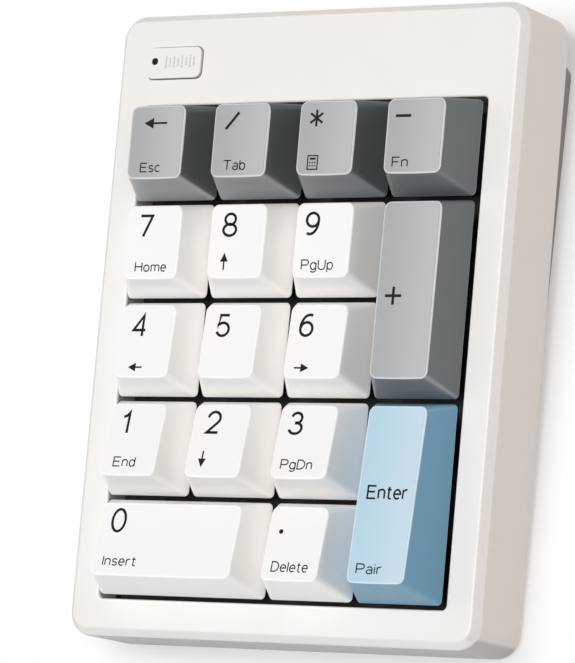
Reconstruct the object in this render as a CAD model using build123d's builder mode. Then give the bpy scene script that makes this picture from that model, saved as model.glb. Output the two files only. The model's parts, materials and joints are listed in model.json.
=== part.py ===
from build123d import *
import os
from math import atan2, cos, degrees, radians, sin, tan

# Numeric keypad: seventeen mechanical keys in a two-part plastic case with a wedge under it.
# Sizes are in millimetres and angles in degrees. Everything is drawn from the deck, the plane
# of the case's top face, whose own origin is the centre of the key grid. The deck leans back by
# the typing angle, so the finished keypad stands on its feet with its origin under its middle.

pitch = 19.05  # from one key's centre to the next
typing_angle = 2.7

# Case. Distances along the deck are from the centre of the key grid.
case_half_width = 45.25
case_front = 55.1
case_rear = 66.1
case_height = 16.6
case_corner = 4.7
case_chamfer = 1.5
chamfer_upper_round = 0.6
chamfer_lower_round = 1.2
bottom_edge_round = 0.45
wall = 2.2
roof = 2.2
floor = 1.6
well_half_width = 38.25
well_half_length = 47.9
well_corner = 1.0
well_rim_round = 0.6
skirt = 1.6
cover_gap = 0.1
rim_thickness = 1.15
rib_thickness = 1.2
side_rib_length = 88.0
side_rib_places = [(-42.3, 5.0), (42.3, 5.0)]
front_rib_length = 60.0
front_rib_place = (0.0, -52.2)
rib_height = 2.6
rib_sunk = 0.4
post_radius = 2.0
post_places = [(x, y) for x in (-pitch, pitch) for y in (-1.5 * pitch, -pitch / 2)]

# Wedge: its underside is level and lies wedge_depth under the deck at wedge_y.
wedge_depth = 21.2
wedge_y = 52.0
wedge_inset = 0.4  # how far its sides stand in from the cover's
wedge_rear_top = 58.8
wedge_sunk = 0.5  # how far it reaches into the floor it hangs from
wedge_rear_foot = 56.3
wedge_foot_round = 1.2
wedge_corner_round = 1.0
foot_proud = 1.0
foot_sunk = 0.8
foot_length = 20.0
foot_width = 7.0
foot_gap = 0.05
foot_places = [(x, y) for x in (-31.0, 31.0) for y in (-41.0, 47.0)]

# Levels under the deck.
plate_top = -6.0
plate_thickness = 1.5
board_top = plate_top - 5.0
board_thickness = 1.6
seat = 0.6  # top of a switch housing and of its slider's collar
cross_top = seat + 3.6

# Plate, circuit board and battery: width, length and place along the deck.
plate_size = (82.0, 106.4)
plate_y = 0.8
plate_notch = (5.0, 6.4)
plate_notch_places = [(-39.6, -50.0), (39.6, -50.0)]
board_size = (81.0, 114.8)
board_y = 5.4
board_front_notch = (5.2, 6.4)
board_front_notch_places = [(-39.2, -50.0), (39.2, -50.0)]
board_rear_notch = (6.0, 7.0)
board_rear_notch_places = [(-39.0, 60.6), (39.0, 60.6)]
controller_size = (6.0, 6.0, 0.9)
controller_place = (27.0, 57.0)
connector_size = (5.0, 3.6, 3.0)
connector_place = (-26.0, 57.0)
light_chip_size = (1.6, 0.9, 0.6)
diode_size = (2.6, 1.3, 1.0)
diode_offset = (5.2, -7.4)
battery_size = (50.0, 32.0, 3.0)
battery_corner = 2.0
battery_edge_round = 0.8
battery_y = 30.0

# Key switches. Offsets are from a switch's centre.
switch_hole = 14.0
flange_size = 15.6
flange_thickness = 1.0
housing_size = 13.9
housing_corner = 0.5
housing_bore = 11.6
housing_floor = 1.0
post_outer = 1.95
post_inner = 1.6
post_length = 3.3
post_floor = 0.5
hood_base = 15.4
hood_top = 10.8
hood_inner_base = 13.2
hood_inner_top = 9.7
hood_roof = 1.2
hood_opening = (7.4, 6.4)
contact_radius = 0.5
contact_hole = 0.75
contact_offsets = [(-3.81, 2.54), (2.54, 5.08)]
spring_outer = 2.2
spring_inner = 1.8

# Sliders of the switches, and the cross on each.
slider_size = (8.6, 7.6)
slider_bottom = seat - 5.2
collar_size = (7.0, 6.0)
collar_height = 1.22
slider_bore = (6.6, 5.6)
slider_bore_depth = 3.0
guide_radius = 1.3
guide_bottom = seat - 9.5
guide_length = 7.5
cross_reach = 4.0
cross_bar_x = 1.25
cross_bar_y = 1.15
cross_gap = 0.06

# Key caps.
cap_base = 0.24
cap_gap = 0.8
cap_wall = 1.3
cap_roof = 1.45
hollow_extra = 0.8  # how much wider the hollow is at the top than the walls alone would leave it
cap_base_corner = 0.9
cap_top_corner = 1.5
cap_side_inset = pitch / 2 - 6.05
cap_front_inset = pitch / 2 - 6.25
cap_rear_inset = pitch / 2 - 7.75
cap_rim_round = 0.45
cap_skirt_round = 0.2
dish = 0.25
boss_radius = 2.75
boss_clearance = 0.02
stabilizer_reach = 11.938

# Height of a cap's top above the deck at its front edge and at its rear edge, by row.
row_profile = [(9.1, 9.2), (7.3, 7.2), (7.4, 6.0), (8.95, 6.3), (9.2, 6.5)]
plus_profile = (7.75, 7.4)
enter_profile = (9.9, 6.5)

# Each key: name, first column, first row, columns, rows, heights of the cap's top.
keys = [
    ("escape", 0, 0, 1, 1, row_profile[0]),
    ("divide", 1, 0, 1, 1, row_profile[0]),
    ("multiply", 2, 0, 1, 1, row_profile[0]),
    ("minus", 3, 0, 1, 1, row_profile[0]),
    ("7", 0, 1, 1, 1, row_profile[1]),
    ("8", 1, 1, 1, 1, row_profile[1]),
    ("9", 2, 1, 1, 1, row_profile[1]),
    ("plus", 3, 1, 1, 2, plus_profile),
    ("4", 0, 2, 1, 1, row_profile[2]),
    ("5", 1, 2, 1, 1, row_profile[2]),
    ("6", 2, 2, 1, 1, row_profile[2]),
    ("1", 0, 3, 1, 1, row_profile[3]),
    ("2", 1, 3, 1, 1, row_profile[3]),
    ("3", 2, 3, 1, 1, row_profile[3]),
    ("enter", 3, 3, 1, 2, enter_profile),
    ("0", 0, 4, 2, 1, row_profile[4]),
    ("point", 2, 4, 1, 1, row_profile[4]),
]

# Screws: radius and depth of each pilot hole, and the sizes of the screws.
screw_radius = 1.0
boss_pilot = 1.01
plate_boss_radius = 1.9
plate_hole = 1.15
plate_pilot_depth = 3.2
plate_screw = (4.5, 1.7, 1.0)  # length under the head, radius of the head, height of the head
case_boss_radius = 2.6
case_boss_end = -13.4
case_pilot_depth = 5.2
case_screw = (6.0, 1.9, 1.4)
case_screw_pocket = 2.05
case_screw_hole = 1.2
recess_length = 2.2
recess_width = 0.5
recess_depth = 0.6
case_screw_places = [(x, y) for x in (-40.0, 40.0) for y in (-50.0, 61.0)]
plate_screw_places = [(x, y) for x in (-26.0, 26.0) for y in (-50.4, 51.0)]

# Badge, its light, the socket and the mode switch.
badge_centre = (-31.9, 56.25)
badge_size = (12.3, 6.1)
badge_corner = 1.3
badge_proud = 0.65
badge_sunk = 0.8
badge_gap = 0.2
badge_round = 0.2
light_place = (-36.3, 56.6)
light_radius = 0.62
light_gap = 0.1
light_sunk = 0.1
light_length = 10.6
light_flange = 1.6
light_flange_thickness = 1.0
socket_x = -15.0
socket_width = 8.94
socket_height = 3.26
socket_corner = 1.4
socket_front = 57.6
socket_mouth = 65.3
socket_gap = 0.35
socket_wall = 0.3
socket_back = 1.0
tongue_size = (6.7, 0.7)
switch_x = 13.0
switch_level = board_top + 1.7
switch_opening = (8.4, 3.0)
switch_opening_corner = 0.5
switch_recess = (10.6, 5.0)
switch_recess_corner = 1.2
switch_recess_depth = 0.8
switch_body_rear = 62.4
switch_body_size = (9.0, 3.4, 3.8)
switch_track_rear = 61.8
switch_track_size = (7.6, 2.4, 2.4)
switch_slot_size = (6.6, 1.8)
knob_foot_rear = 61.6
knob_foot_size = (3.0, 2.0, 1.6)
knob_rear = 65.9
knob_neck_size = (1.8, 1.4, 5.0)
knob_head_size = (2.6, 2.2, 2.8)
knob_round = 0.2

# Stabilizers. Distances are across the long key's length, and levels are above the deck.
wire_radius = 0.7
wire_y = -8.9
wire_level = -4.9
wire_tip_y = -1.3
wire_tip_level = -3.4
wire_bend = 1.5
stabilizer_hole = (6.8, 11.7)
stabilizer_tail_hole = (2.2, 2.6)
stabilizer_tail_y = -7.0
stabilizer_size = (6.6, 11.5)
stabilizer_bottom = board_top + 0.2
stabilizer_top = -3.3
stabilizer_bore = (4.6, 5.8)
stabilizer_floor = board_top + 1.0
wire_slot = (2.1, 3.0)
wire_slot_y = -4.3
wire_slot_floor = -8.2
bearing_thickness = 1.4
bearing_height = 2.2
bearing_level = -4.85
bearing_margin = 1.1
bearing_gap = 0.08
stabilizer_slider_size = (4.0, 5.0)
stabilizer_slider_bottom = -5.4
slider_window = (2.1, 1.8)
slider_window_y = -1.7
slider_window_bottom = -4.7
slider_window_height = 2.8

lean = radians(typing_angle)
case_length = case_front + case_rear
case_middle = (case_rear - case_front) / 2
floor_top = floor - case_height
deck_y = -((case_rear - case_front) * cos(lean) + (case_height + case_chamfer) * sin(lean)) / 2
deck_z = foot_proud + wedge_depth * cos(lean) - wedge_y * sin(lean)
deck = Plane(origin=(0, deck_y, deck_z), x_dir=(1, 0, 0), z_dir=(0, -sin(lean), cos(lean)))
up = Axis(deck.origin, deck.z_dir)
back = Axis(deck.origin, deck.y_dir)
side = Plane(origin=deck.origin, x_dir=deck.y_dir, z_dir=(1, 0, 0))


def at(x, y, z=0):
    """The point at a place on the deck."""
    return deck.from_local_coords(Vector(x, y, z))


def rear_plane(y):
    """A plane across the deck at y, seen from behind as x and height, facing the front."""
    return Plane(origin=at(0, y), x_dir=(1, 0, 0), z_dir=-deck.y_dir)


def underside(y):
    """Height of the wedge's level underside at a place along the deck."""
    return -wedge_depth + (wedge_y - y) * tan(lean)


def centre(key):
    """A key's centre on the deck."""
    name, column, row, columns, rows, profile = key
    x = (column + (columns - 1) / 2 - 1.5) * pitch
    y = (2 - row - (rows - 1) / 2) * pitch
    return x, y


def key_plane(key):
    """The deck's plane, moved to a key's centre."""
    return Plane(origin=at(*centre(key)), x_dir=deck.x_dir, z_dir=deck.z_dir)


def is_long(key):
    return key[3] * key[4] > 1


def long_key_turn(key):
    """Turn about the deck's normal that brings +X along a long key, with its wire at -Y."""
    return 180 if key[3] > 1 else -90


def stabilizer_plane(key):
    """A plane at a long key's centre with +X along the key and its wire at -Y."""
    turn = radians(long_key_turn(key))
    along = deck.x_dir * cos(turn) + deck.y_dir * sin(turn)
    return Plane(origin=at(*centre(key)), x_dir=along, z_dir=deck.z_dir)


def stem_places(key):
    """Where a cap's bosses are, from the key's centre."""
    places = [(0, 0)]
    if key[3] > 1:
        places += [(-stabilizer_reach, 0), (stabilizer_reach, 0)]
    if key[4] > 1:
        places += [(0, -stabilizer_reach), (0, stabilizer_reach)]
    return places


switch_places = [centre(key) for key in keys]
contact_places = [(x + dx, y + dy) for x, y in switch_places for dx, dy in contact_offsets]
diode_places = [(x + diode_offset[0], y + diode_offset[1]) for x, y in switch_places]
long_keys = [key for key in keys if is_long(key)]


def save(piece, name):
    piece.part.label = name
    export_step(piece.part, f"parts/{name}.step")


def case_outline(inset):
    with Locations((0, case_middle)):
        RectangleRounded(2 * (case_half_width - inset), case_length - 2 * inset, case_corner - inset)


# Top case: roof with the key well, outer walls, and the bosses that hold the plate and cover.
def make_top_case():
    with BuildPart(deck) as top_case:
        with BuildSketch(deck.offset(-case_height)):
            case_outline(0)
        extrude(amount=case_height)
        chamfer(top_case.faces().sort_by(up)[-1].edges(), case_chamfer)
        fillet(top_case.edges().filter_by(deck).group_by(up)[-2], chamfer_lower_round)
        fillet(top_case.edges().filter_by(deck).group_by(up)[-1], chamfer_upper_round)
        fillet(top_case.edges().filter_by(deck).group_by(up)[0], bottom_edge_round)
        with BuildSketch(deck.offset(-case_height)):
            case_outline(wall)
        extrude(amount=case_height - roof, mode=Mode.SUBTRACT)
        with BuildSketch(deck.offset(-case_height)):
            case_outline(rim_thickness)
        extrude(amount=floor, mode=Mode.SUBTRACT)
        # Skirt round the well, down to the plate.
        with BuildSketch(deck.offset(plate_top)):
            skirt_width = 2 * (well_half_width + skirt)
            skirt_length = 2 * (well_half_length + skirt)
            RectangleRounded(skirt_width, skirt_length, well_corner + skirt)
        extrude(amount=-plate_top - roof)
        # Bosses for the plate's screws and for the cover's screws.
        with BuildSketch(deck.offset(plate_top)):
            with Locations(*plate_screw_places):
                Circle(plate_boss_radius)
        extrude(amount=-plate_top - roof)
        with BuildSketch(deck.offset(case_boss_end)):
            with Locations(*case_screw_places):
                Circle(case_boss_radius)
        extrude(amount=-case_boss_end - roof)
        # The well itself, cut last so that nothing reaches into it.
        with BuildSketch(deck):
            RectangleRounded(2 * well_half_width, 2 * well_half_length, well_corner)
        extrude(amount=plate_top, mode=Mode.SUBTRACT)
        rim = top_case.faces().sort_by(up)[-1].inner_wires()[0].edges()
        fillet(rim, well_rim_round)
        # Pilot holes.
        with BuildSketch(deck.offset(plate_top)):
            with Locations(*plate_screw_places):
                Circle(boss_pilot)
        extrude(amount=plate_pilot_depth, mode=Mode.SUBTRACT)
        with BuildSketch(deck.offset(case_boss_end)):
            with Locations(*case_screw_places):
                Circle(boss_pilot)
        extrude(amount=case_pilot_depth, mode=Mode.SUBTRACT)
        # Pocket for the badge and hole for its light.
        with BuildSketch(deck):
            with Locations(badge_centre):
                pocket_width = badge_size[0] + 2 * badge_gap
                pocket_length = badge_size[1] + 2 * badge_gap
                RectangleRounded(pocket_width, pocket_length, badge_corner + badge_gap)
        extrude(amount=-badge_sunk, mode=Mode.SUBTRACT)
        with BuildSketch(deck):
            with Locations(light_place):
                Circle(light_radius + light_gap)
        extrude(amount=-roof, mode=Mode.SUBTRACT)
        # Openings in the rear wall for the socket and for the mode switch.
        with BuildSketch(rear_plane(case_rear)):
            with Locations((socket_x, board_top + socket_height / 2)):
                opening_width = socket_width + 2 * socket_gap
                opening_height = socket_height + 2 * socket_gap
                RectangleRounded(opening_width, opening_height, socket_corner + socket_gap)
        extrude(amount=wall, mode=Mode.SUBTRACT)
        with BuildSketch(rear_plane(case_rear)):
            with Locations((switch_x, switch_level)):
                RectangleRounded(*switch_opening, switch_opening_corner)
        extrude(amount=wall, mode=Mode.SUBTRACT)
        with BuildSketch(rear_plane(case_rear)):
            with Locations((switch_x, switch_level)):
                RectangleRounded(*switch_recess, switch_recess_corner)
        extrude(amount=switch_recess_depth, mode=Mode.SUBTRACT)
    save(top_case, "top_case")


# Bottom case: a flat cover inside the top case's rim, with a hollow wedge under it.
def make_bottom_case():
    half_width = case_half_width - rim_thickness - cover_gap
    wedge_front = wedge_y - (wedge_depth - case_height) / tan(lean)
    inner_front = wedge_y - (wedge_depth - floor + floor_top) / tan(lean)
    with BuildPart(deck) as bottom_case:
        with BuildSketch(side):
            with BuildLine():
                Polyline(
                    (wedge_front, -case_height),
                    (wedge_rear_foot, underside(wedge_rear_foot)),
                    (wedge_rear_top, -case_height),
                    (wedge_rear_top, floor_top - wedge_sunk),
                    (wedge_front, floor_top - wedge_sunk),
                    close=True,
                )
            make_face()
        extrude(amount=half_width - wedge_inset, both=True)
        fillet(bottom_case.edges().filter_by(Axis.X).sort_by(up)[0], wedge_foot_round)
        rear_edges = bottom_case.faces().sort_by(back)[-1].edges().filter_by(up)
        fillet(rear_edges, wedge_corner_round)
        with BuildSketch(deck.offset(-case_height)):
            case_outline(rim_thickness + cover_gap)
        extrude(amount=floor)
        with BuildSketch(side):
            with BuildLine():
                Polyline(
                    (inner_front, floor_top),
                    (wedge_rear_foot - floor, underside(wedge_rear_foot - floor) + floor),
                    (wedge_rear_top - 2 * floor, -case_height),
                    (wedge_rear_top - 2 * floor, floor_top),
                    close=True,
                )
            make_face()
        extrude(amount=half_width - wedge_inset - floor, both=True, mode=Mode.SUBTRACT)
        # Locating ribs along the walls, and posts under the circuit board.
        with BuildSketch(deck.offset(floor_top - rib_sunk)):
            with Locations(*side_rib_places):
                Rectangle(rib_thickness, side_rib_length)
            with Locations(front_rib_place):
                Rectangle(front_rib_length, rib_thickness)
        extrude(amount=rib_height)
        for x, y in post_places:
            post_bottom = underside(y) + floor / 2
            with BuildSketch(deck.offset(post_bottom)):
                with Locations((x, y)):
                    Circle(post_radius)
            extrude(amount=board_top - board_thickness - post_bottom)
        # Screw bosses, with a pocket for each head.
        with BuildSketch(deck.offset(floor_top)):
            with Locations(*case_screw_places):
                Circle(case_boss_radius)
        extrude(amount=case_boss_end - floor_top)
        with BuildSketch(deck.offset(-case_height)):
            with Locations(*case_screw_places):
                Circle(case_screw_pocket)
        extrude(amount=floor, mode=Mode.SUBTRACT)
        with BuildSketch(deck.offset(floor_top)):
            with Locations(*case_screw_places):
                Circle(case_screw_hole)
        extrude(amount=case_boss_end - floor_top, mode=Mode.SUBTRACT)
        # Shallow pockets for the rubber feet.
        with BuildSketch(Plane.XY):
            with Locations(*[(x, deck_y + y) for x, y in foot_places]):
                SlotOverall(foot_length + 2 * foot_gap, foot_width + 2 * foot_gap)
        extrude(amount=foot_proud + foot_sunk, mode=Mode.SUBTRACT)
    save(bottom_case, "bottom_case")


def make_rubber_feet():
    with BuildPart() as rubber_feet:
        with BuildSketch(Plane.XY):
            with Locations(*[(x, deck_y + y) for x, y in foot_places]):
                SlotOverall(foot_length, foot_width)
        extrude(amount=foot_proud + foot_sunk)
        fillet(rubber_feet.edges().group_by(Axis.Z)[0], 0.4)
    save(rubber_feet, "rubber_feet")


# Steel plate that carries the switches and the stabilizers.
def make_switch_plate():
    with BuildPart(deck) as switch_plate:
        with BuildSketch(deck.offset(plate_top - plate_thickness)):
            with Locations((0, plate_y)):
                Rectangle(*plate_size)
            with Locations(*plate_notch_places):
                Rectangle(*plate_notch, mode=Mode.SUBTRACT)
            with Locations(*switch_places):
                Rectangle(switch_hole, switch_hole, mode=Mode.SUBTRACT)
            with Locations(*plate_screw_places):
                Circle(plate_hole, mode=Mode.SUBTRACT)
            for key in long_keys:
                with Locations(Location((*centre(key), 0), (0, 0, long_key_turn(key)))):
                    for x in (-stabilizer_reach, stabilizer_reach):
                        with Locations((x, 0)):
                            Rectangle(*stabilizer_hole, mode=Mode.SUBTRACT)
                        with Locations((x, stabilizer_tail_y)):
                            Rectangle(*stabilizer_tail_hole, mode=Mode.SUBTRACT)
        extrude(amount=plate_thickness)
    save(switch_plate, "switch_plate")


# Circuit board, with holes for each switch's post and contacts.
def make_circuit_board():
    with BuildPart(deck) as circuit_board:
        with BuildSketch(deck.offset(board_top - board_thickness)):
            with Locations((0, board_y)):
                Rectangle(*board_size)
            with Locations(*board_front_notch_places):
                Rectangle(*board_front_notch, mode=Mode.SUBTRACT)
            with Locations(*board_rear_notch_places):
                Rectangle(*board_rear_notch, mode=Mode.SUBTRACT)
            with Locations(*switch_places):
                Circle(post_outer + 0.1, mode=Mode.SUBTRACT)
            with Locations(*contact_places):
                Circle(contact_hole, mode=Mode.SUBTRACT)
        extrude(amount=board_thickness)
    save(circuit_board, "circuit_board")


# Small parts soldered to the board: diodes, controller, battery connector and light.
def make_board_components():
    with BuildPart(deck) as board_components:
        with BuildSketch(deck.offset(board_top - board_thickness)):
            with Locations(*diode_places):
                Rectangle(diode_size[0], diode_size[1])
        extrude(amount=-diode_size[2])
        for place, (width, length, height) in (
            (controller_place, controller_size),
            (connector_place, connector_size),
            (light_place, light_chip_size),
        ):
            with BuildSketch(deck.offset(board_top)):
                with Locations(place):
                    Rectangle(width, length)
            extrude(amount=height)
    save(board_components, "board_components")


# Flat rechargeable cell on the wedge's level floor.
def make_battery():
    with BuildPart() as battery:
        width, length, height = battery_size
        with BuildSketch(Plane.XY.offset(foot_proud + floor + 0.02)):
            with Locations((0, deck_y + battery_y)):
                RectangleRounded(width, length, battery_corner)
        extrude(amount=height)
        fillet(battery.edges().group_by(Axis.Z)[-1], battery_edge_round)
    save(battery, "battery")


# Key switches: lower and upper housings, contacts, springs and one slider for each key.
def make_switch_lower_housings():
    with BuildPart(deck) as lower:
        with BuildSketch(deck.offset(plate_top)):
            with Locations(*switch_places):
                RectangleRounded(flange_size, flange_size, housing_corner)
        extrude(amount=flange_thickness)
        with BuildSketch(deck.offset(board_top)):
            with Locations(*switch_places):
                RectangleRounded(housing_size, housing_size, housing_corner)
        extrude(amount=plate_top - board_top)
        with BuildSketch(deck.offset(board_top + housing_floor)):
            with Locations(*switch_places):
                Rectangle(housing_bore, housing_bore)
        extrude(amount=plate_top - board_top, mode=Mode.SUBTRACT)
        with BuildSketch(deck.offset(board_top - post_length)):
            with Locations(*switch_places):
                Circle(post_outer)
        extrude(amount=post_length)
        with BuildSketch(deck.offset(board_top - post_length + post_floor)):
            with Locations(*switch_places):
                Circle(post_inner)
        extrude(amount=post_length - post_floor + housing_floor, mode=Mode.SUBTRACT)
    save(lower, "switch_lower_housings")


def make_switch_upper_housings():
    bottom = plate_top + flange_thickness
    height = seat - bottom
    inner_height = height - hood_roof
    taper = degrees(atan2((hood_base - hood_top) / 2, height))
    inner_taper = degrees(atan2((hood_inner_base - hood_inner_top) / 2, inner_height))
    with BuildPart(deck) as upper:
        with BuildSketch(deck.offset(bottom)):
            with Locations(*switch_places):
                Rectangle(hood_base, hood_base)
        extrude(amount=height, taper=taper)
        with BuildSketch(deck.offset(bottom)):
            with Locations(*switch_places):
                Rectangle(hood_inner_base, hood_inner_base)
        extrude(amount=inner_height, taper=inner_taper, mode=Mode.SUBTRACT)
        with BuildSketch(deck.offset(seat)):
            with Locations(*switch_places):
                Rectangle(*hood_opening)
        extrude(amount=-2 * hood_roof, mode=Mode.SUBTRACT)
    save(upper, "switch_upper_housings")


def make_switch_contacts():
    with BuildPart(deck) as switch_contacts:
        with BuildSketch(deck.offset(board_top)):
            with Locations(*contact_places):
                Circle(contact_radius)
        extrude(amount=-post_length)
    save(switch_contacts, "switch_contacts")


def make_switch_springs():
    bottom = board_top + housing_floor
    with BuildPart(deck) as switch_springs:
        with BuildSketch(deck.offset(bottom)):
            with Locations(*switch_places):
                Circle(spring_outer)
                Circle(spring_inner, mode=Mode.SUBTRACT)
        extrude(amount=slider_bottom + slider_bore_depth - bottom - boss_clearance)
    save(switch_springs, "switch_springs")


def draw_cross(gap):
    """The cross on top of a slider, or with a gap, its socket in the cap."""
    Rectangle(cross_reach + gap, cross_bar_x + gap)
    Rectangle(cross_bar_y + gap, cross_reach + gap)


def make_slider(key):
    plane = key_plane(key)
    collar_bottom = seat - collar_height
    with BuildPart(plane) as slider:
        with BuildSketch(plane.offset(slider_bottom)):
            Rectangle(*slider_size)
        extrude(amount=collar_bottom - slider_bottom)
        with BuildSketch(plane.offset(collar_bottom)):
            Rectangle(*collar_size)
        extrude(amount=collar_height)
        with BuildSketch(plane.offset(slider_bottom)):
            Rectangle(*slider_bore)
        extrude(amount=slider_bore_depth, mode=Mode.SUBTRACT)
        with BuildSketch(plane.offset(guide_bottom)):
            Circle(guide_radius)
        extrude(amount=guide_length)
        with BuildSketch(plane.offset(seat)):
            draw_cross(0)
        extrude(amount=cross_top - seat)
    save(slider, f"slider_{key[0]}")


# Caps: a shell that tapers to a dished, leaning top, with a boss for each cross.
def make_cap(key):
    name, column, row, columns, rows, (front_height, rear_height) = key
    plane = key_plane(key)
    base_width = columns * pitch - cap_gap
    base_length = rows * pitch - cap_gap
    top_width = columns * pitch - 2 * cap_side_inset
    front = -rows * pitch / 2 + cap_front_inset
    rear = rows * pitch / 2 - cap_rear_inset
    slope = (rear_height - front_height) / (rear - front)

    def top_height(y):
        return front_height + slope * (y - front)

    # The top's own plane leans with its slope, and its origin is the middle of the top.
    middle = (front + rear) / 2
    leaning_y = plane.y_dir + plane.z_dir * slope
    normal = deck.x_dir.cross(leaning_y).normalized()
    origin = plane.from_local_coords(Vector(0, middle, top_height(middle)))
    top = Plane(origin=origin, x_dir=deck.x_dir, z_dir=normal)
    top_length = (rear - front) * leaning_y.length
    dish_radius = ((top_width / 2) ** 2 + dish**2) / (2 * dish)
    dish_plane = Plane(origin=top.origin, x_dir=top.x_dir, z_dir=-top.y_dir)

    # The hollow under the cap, less the bosses that stand in it.
    with BuildPart() as hollow:
        with BuildSketch(plane.offset(cap_base)):
            Rectangle(base_width - 2 * cap_wall, base_length - 2 * cap_wall)
        with BuildSketch(top.offset(-cap_roof)):
            hollow_width = top_width - 2 * cap_wall + hollow_extra
            hollow_length = top_length - 2 * cap_wall + hollow_extra
            Rectangle(hollow_width, hollow_length)
        loft()
        with BuildSketch(plane.offset(seat + boss_clearance)):
            with Locations(*stem_places(key)):
                Circle(boss_radius)
        extrude(amount=max(front_height, rear_height), mode=Mode.SUBTRACT)

    with BuildPart() as cap:
        with BuildSketch(plane.offset(cap_base)):
            RectangleRounded(base_width, base_length, cap_base_corner)
        with BuildSketch(top):
            RectangleRounded(top_width, top_length, cap_top_corner)
        loft()
        with BuildSketch(dish_plane):
            with Locations((0, dish_radius - dish)):
                Circle(dish_radius)
        extrude(amount=top_length, both=True, mode=Mode.SUBTRACT)
        fillet(cap.faces().sort_by(Axis(top.origin, top.z_dir))[-1].edges(), cap_rim_round)
        fillet(cap.faces().sort_by(up)[0].edges(), cap_skirt_round)
        add(hollow.part, mode=Mode.SUBTRACT)
        with BuildSketch(plane.offset(seat + boss_clearance)):
            for place in stem_places(key):
                with Locations(place):
                    draw_cross(cross_gap)
        extrude(amount=cross_top - seat + 0.1, mode=Mode.SUBTRACT)
    save(cap, f"keycap_{name}")


# Stabilizers under the long keys: housings, sliders and a bent steel wire.
def make_stabilizer_housings():
    bearing_reach = -wire_y + bearing_margin - stabilizer_size[1] / 2
    with BuildPart(deck) as housings:
        for key in long_keys:
            plane = stabilizer_plane(key)
            for end in (-1, 1):
                x = end * stabilizer_reach
                with BuildSketch(plane.offset(stabilizer_bottom)):
                    with Locations((x, 0)):
                        Rectangle(*stabilizer_size)
                extrude(amount=stabilizer_top - stabilizer_bottom)
                # Bearing for the wire, inboard of its arm. The sketch lies across the key, and
                # its own up direction is up at one end of the key and down at the other.
                bearing = Plane(
                    origin=plane.from_local_coords(Vector(x - end * stabilizer_size[0] / 2, 0, 0)),
                    x_dir=plane.y_dir,
                    z_dir=plane.x_dir * end,
                )
                with BuildSketch(bearing):
                    with Locations((-(stabilizer_size[1] + bearing_reach) / 2, end * bearing_level)):
                        Rectangle(bearing_reach, bearing_height)
                extrude(amount=bearing_thickness)
                with BuildSketch(bearing):
                    with Locations((wire_y, end * wire_level)):
                        Circle(wire_radius + bearing_gap)
                extrude(amount=bearing_thickness, mode=Mode.SUBTRACT)
                with BuildSketch(plane.offset(stabilizer_floor)):
                    with Locations((x, 0)):
                        Rectangle(*stabilizer_bore)
                extrude(amount=stabilizer_top - stabilizer_floor, mode=Mode.SUBTRACT)
                with BuildSketch(plane.offset(wire_slot_floor)):
                    with Locations((x, wire_slot_y)):
                        Rectangle(*wire_slot)
                extrude(amount=stabilizer_top - wire_slot_floor, mode=Mode.SUBTRACT)
    save(housings, "stabilizer_housings")


def make_stabilizer_sliders(key):
    plane = stabilizer_plane(key)
    with BuildPart(plane) as sliders:
        for x in (-stabilizer_reach, stabilizer_reach):
            with BuildSketch(plane.offset(stabilizer_slider_bottom)):
                with Locations((x, 0)):
                    Rectangle(*stabilizer_slider_size)
            extrude(amount=seat - stabilizer_slider_bottom)
            with BuildSketch(plane.offset(slider_window_bottom)):
                with Locations((x, slider_window_y)):
                    Rectangle(*slider_window)
            extrude(amount=slider_window_height, mode=Mode.SUBTRACT)
        with BuildSketch(key_plane(key).offset(seat)):
            with Locations(*stem_places(key)[1:]):
                draw_cross(0)
        extrude(amount=cross_top - seat)
    save(sliders, f"stabilizer_sliders_{key[0]}")


def make_stabilizer_wire(key):
    plane = stabilizer_plane(key)
    reach = wire_tip_y - wire_y
    rise = wire_tip_level - wire_level
    arm = (reach**2 + rise**2) ** 0.5
    arm_dir = plane.y_dir * (reach / arm) + plane.z_dir * (rise / arm)
    pivot = plane.from_local_coords(Vector(0, wire_y, wire_level))
    bent = Plane(origin=pivot, x_dir=plane.x_dir, z_dir=plane.x_dir.cross(arm_dir))
    with BuildPart() as wire:
        with BuildLine(bent) as route:
            FilletPolyline(
                (-stabilizer_reach, arm),
                (-stabilizer_reach, 0),
                (stabilizer_reach, 0),
                (stabilizer_reach, arm),
                radius=wire_bend,
            )
        with BuildSketch(Plane(origin=route.line @ 0, z_dir=route.line % 0)):
            Circle(wire_radius)
        sweep()
    save(wire, f"stabilizer_wire_{key[0]}")


# Badge on the top case, and the light that shows through it.
def make_badge():
    with BuildPart(deck) as badge:
        with BuildSketch(deck.offset(-badge_sunk)):
            with Locations(badge_centre):
                RectangleRounded(*badge_size, badge_corner)
        extrude(amount=badge_sunk + badge_proud)
        fillet(badge.edges().group_by(up)[-1], badge_round)
        with BuildSketch(deck.offset(badge_proud)):
            with Locations(light_place):
                Circle(light_radius + light_gap)
        extrude(amount=-badge_sunk - badge_proud, mode=Mode.SUBTRACT)
    save(badge, "indicator_badge")

    with BuildPart(deck) as light_pipe:
        with BuildSketch(deck.offset(badge_proud - light_sunk)):
            with Locations(light_place):
                Circle(light_radius)
        extrude(amount=-light_length)
        with BuildSketch(deck.offset(-roof)):
            with Locations(light_place):
                Circle(light_flange)
        extrude(amount=-light_flange_thickness)
    save(light_pipe, "indicator_light_pipe")


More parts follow.
